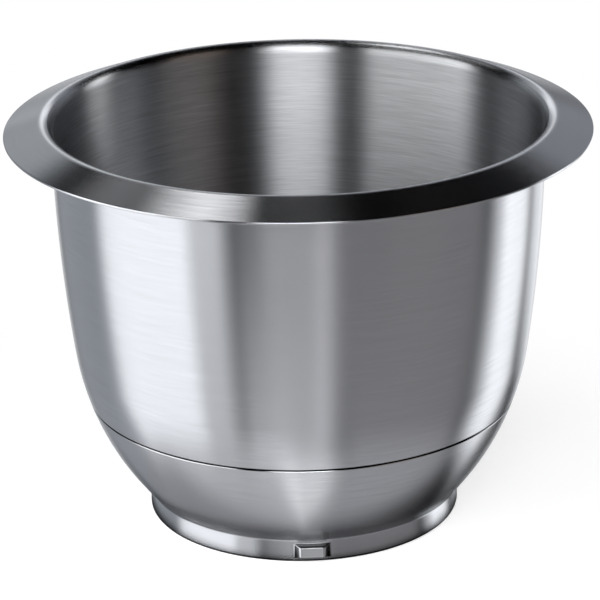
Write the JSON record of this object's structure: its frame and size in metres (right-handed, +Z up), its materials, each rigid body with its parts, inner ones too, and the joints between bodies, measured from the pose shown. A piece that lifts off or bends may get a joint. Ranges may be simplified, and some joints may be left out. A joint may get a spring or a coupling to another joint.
{
  "type": "stand mixer bowl",
  "caption": "Round pressed-steel mixing bowl with a sloping rim, a rounded lip and a base shell whose foot ring has bayonet lugs to lock it into a stand mixer.",
  "frame": {"origin": "centre of the foot ring on the surface that the bowl stands on", "axes": "+Z up along the bowl's axis, -Y towards the front, near the first lug"},
  "size_m": [0.24, 0.24, 0.1715],
  "materials": {
    "bowl_steel": "satin, brushed round the bowl",
    "base_steel": "satin, brushed round the foot, lugs brighter"
  },
  "bodies": {
    "root": {"bowl_shell": "bowl_steel", "base_shell": "base_steel"}
  },
  "joints": []
}
